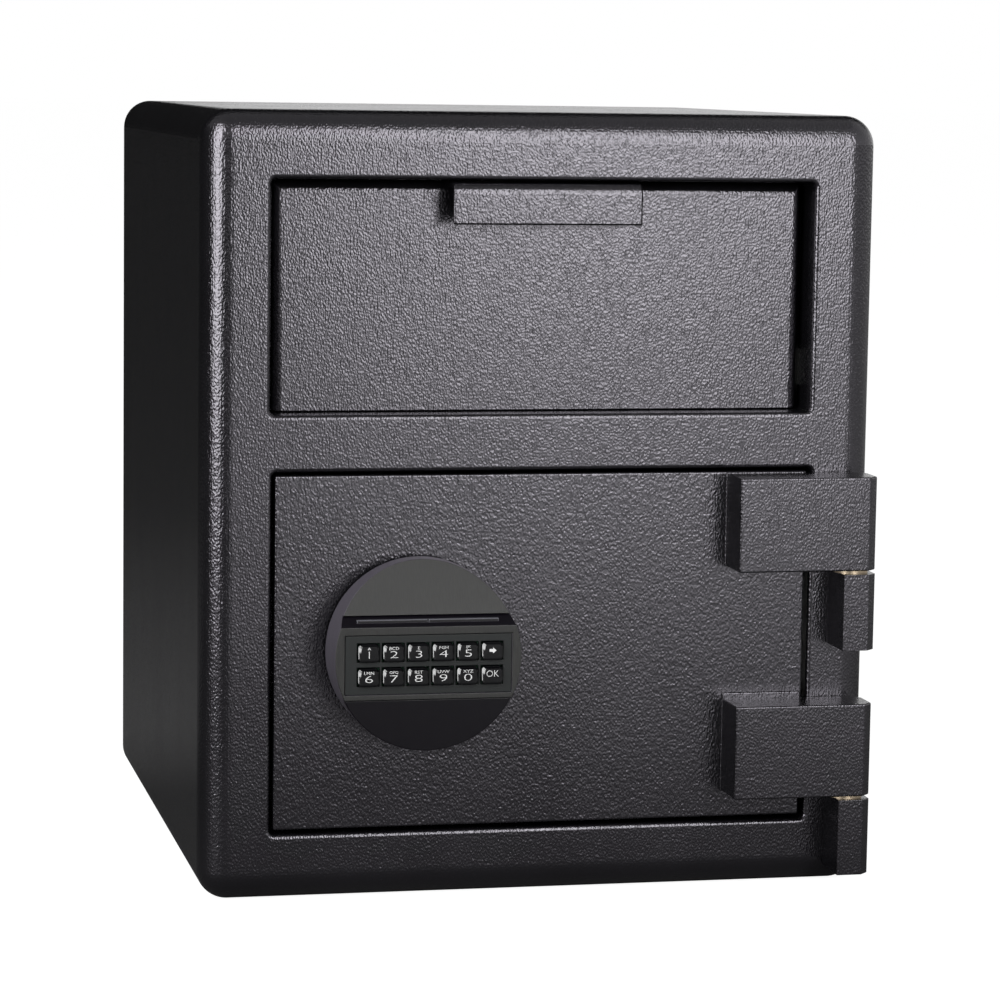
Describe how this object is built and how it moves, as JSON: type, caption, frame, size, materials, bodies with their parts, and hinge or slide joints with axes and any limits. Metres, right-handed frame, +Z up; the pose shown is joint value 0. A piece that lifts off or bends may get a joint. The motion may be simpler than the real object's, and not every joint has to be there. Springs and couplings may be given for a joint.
{
  "type": "drop safe with deposit drawer",
  "caption": "Black steel drop safe: pull-out deposit drawer over a hinged vault door with a round keypad lock.",
  "frame": {"origin": "centre of the four floor anchor holes, on the underside of the base", "axes": "+X to the right seen from the front, +Y from the door into the safe, +Z up"},
  "size_m": [0.35, 0.386, 0.4],
  "materials": {
    "black_coat": "glossy hammered powder coat",
    "inner_coat": "plain satin paint",
    "zinc_sheet": "zinc plated, satin",
    "bright_steel": "turned, bright",
    "brass": "turned, slightly dull",
    "keypad_shell": "fine matte with faint streaks",
    "keypad_dark": "smooth satin",
    "light_lens": "smoked lens",
    "circuit_board": "varnished board",
    "key_caps": "glossy with printed white marks"
  },
  "bodies": {
    "root": {"body_wrap": "black_coat", "front_frame": "black_coat", "back_panel": "black_coat", "drawer_deck": "inner_coat", "antifish_comb": "inner_coat", "bracket_left": "inner_coat", "bracket_right": "inner_coat", "channel_left": "zinc_sheet", "channel_right": "zinc_sheet", "knuckle_upper": "black_coat", "knuckle_lower": "black_coat", "hinge_pin_upper": "bright_steel", "hinge_pin_lower": "bright_steel", "washer_upper": "brass", "washer_lower": "brass"},
    "drawer": {"drawer_front": "black_coat", "drawer_pull": "black_coat", "cheek_left": "inner_coat", "cheek_right": "inner_coat", "drawer_floor": "inner_coat", "rail_left": "zinc_sheet", "rail_right": "zinc_sheet"},
    "drop_gate": {"gate_plate": "inner_coat", "gate_rod": "bright_steel", "gate_lever": "zinc_sheet"},
    "door": {"door_plate": "black_coat", "hinge_block_upper": "black_coat", "hinge_block_lower": "black_coat", "dead_bar": "zinc_sheet", "lock_chassis": "zinc_sheet", "door_cover": "inner_coat", "cover_screws": "bright_steel", "lock_case": "zinc_sheet", "lock_latch": "brass", "keypad_base": "keypad_dark"},
    "dial": {"keypad_housing": "keypad_shell", "key_plate": "keypad_dark", "key_board": "circuit_board", "light_bar": "light_lens", "battery_cover": "keypad_dark", "spindle": "bright_steel", "drive_cam": "zinc_sheet"},
    "boltwork": {"bolt_carriage": "zinc_sheet", "bolt_upper": "bright_steel", "bolt_lower": "bright_steel", "cam_pin": "bright_steel"},
    "key_1_cap": {"key_1": "key_caps"},
    "key_2_cap": {"key_2": "key_caps"},
    "key_3_cap": {"key_3": "key_caps"},
    "key_4_cap": {"key_4": "key_caps"},
    "key_5_cap": {"key_5": "key_caps"},
    "key_next_cap": {"key_next": "key_caps"},
    "key_6_cap": {"key_6": "key_caps"},
    "key_7_cap": {"key_7": "key_caps"},
    "key_8_cap": {"key_8": "key_caps"},
    "key_9_cap": {"key_9": "key_caps"},
    "key_0_cap": {"key_0": "key_caps"},
    "key_ok_cap": {"key_ok": "key_caps"}
  },
  "joints": [
    {"name": "drawer_slide", "type": "slide", "parent": "root", "child": "drawer", "axis": [0, -1, 0], "range_m": [0, 0.13]},
    {"name": "gate_swing", "type": "hinge", "parent": "drawer", "child": "drop_gate", "pos_m": [0, -0.007, 0.342], "axis": [-1, 0, 0], "range_deg": [0, 60]},
    {"name": "door_hinge", "type": "hinge", "parent": "root", "child": "door", "pos_m": [0.1598, -0.18825, 0.1295], "axis": [0, 0, 1], "range_deg": [0, 110]},
    {"name": "dial_turn", "type": "hinge", "parent": "door", "child": "dial", "pos_m": [-0.06535, -0.175, 0.12943], "axis": [0, -1, 0], "range_deg": [0, 90]},
    {"name": "bolt_throw", "type": "slide", "parent": "door", "child": "boltwork", "axis": [-1, 0, 0], "range_m": [0, 0.014]},
    {"name": "key_1_press", "type": "slide", "parent": "dial", "child": "key_1_cap", "axis": [0, 1, 0], "range_m": [0, 0.0009], "stiffness_N_per_m": 300},
    {"name": "key_2_press", "type": "slide", "parent": "dial", "child": "key_2_cap", "axis": [0, 1, 0], "range_m": [0, 0.0009], "stiffness_N_per_m": 300},
    {"name": "key_3_press", "type": "slide", "parent": "dial", "child": "key_3_cap", "axis": [0, 1, 0], "range_m": [0, 0.0009], "stiffness_N_per_m": 300},
    {"name": "key_4_press", "type": "slide", "parent": "dial", "child": "key_4_cap", "axis": [0, 1, 0], "range_m": [0, 0.0009], "stiffness_N_per_m": 300},
    {"name": "key_5_press", "type": "slide", "parent": "dial", "child": "key_5_cap", "axis": [0, 1, 0], "range_m": [0, 0.0009], "stiffness_N_per_m": 300},
    {"name": "key_next_press", "type": "slide", "parent": "dial", "child": "key_next_cap", "axis": [0, 1, 0], "range_m": [0, 0.0009], "stiffness_N_per_m": 300},
    {"name": "key_6_press", "type": "slide", "parent": "dial", "child": "key_6_cap", "axis": [0, 1, 0], "range_m": [0, 0.0009], "stiffness_N_per_m": 300},
    {"name": "key_7_press", "type": "slide", "parent": "dial", "child": "key_7_cap", "axis": [0, 1, 0], "range_m": [0, 0.0009], "stiffness_N_per_m": 300},
    {"name": "key_8_press", "type": "slide", "parent": "dial", "child": "key_8_cap", "axis": [0, 1, 0], "range_m": [0, 0.0009], "stiffness_N_per_m": 300},
    {"name": "key_9_press", "type": "slide", "parent": "dial", "child": "key_9_cap", "axis": [0, 1, 0], "range_m": [0, 0.0009], "stiffness_N_per_m": 300},
    {"name": "key_0_press", "type": "slide", "parent": "dial", "child": "key_0_cap", "axis": [0, 1, 0], "range_m": [0, 0.0009], "stiffness_N_per_m": 300},
    {"name": "key_ok_press", "type": "slide", "parent": "dial", "child": "key_ok_cap", "axis": [0, 1, 0], "range_m": [0, 0.0009], "stiffness_N_per_m": 300}
  ],
  "couplings": [
    {"joint": "gate_swing", "follows": "drawer_slide", "rad_per_m": 8.0554},
    {"joint": "bolt_throw", "follows": "dial_turn", "m_per_rad": 0.0089127}
  ]
}
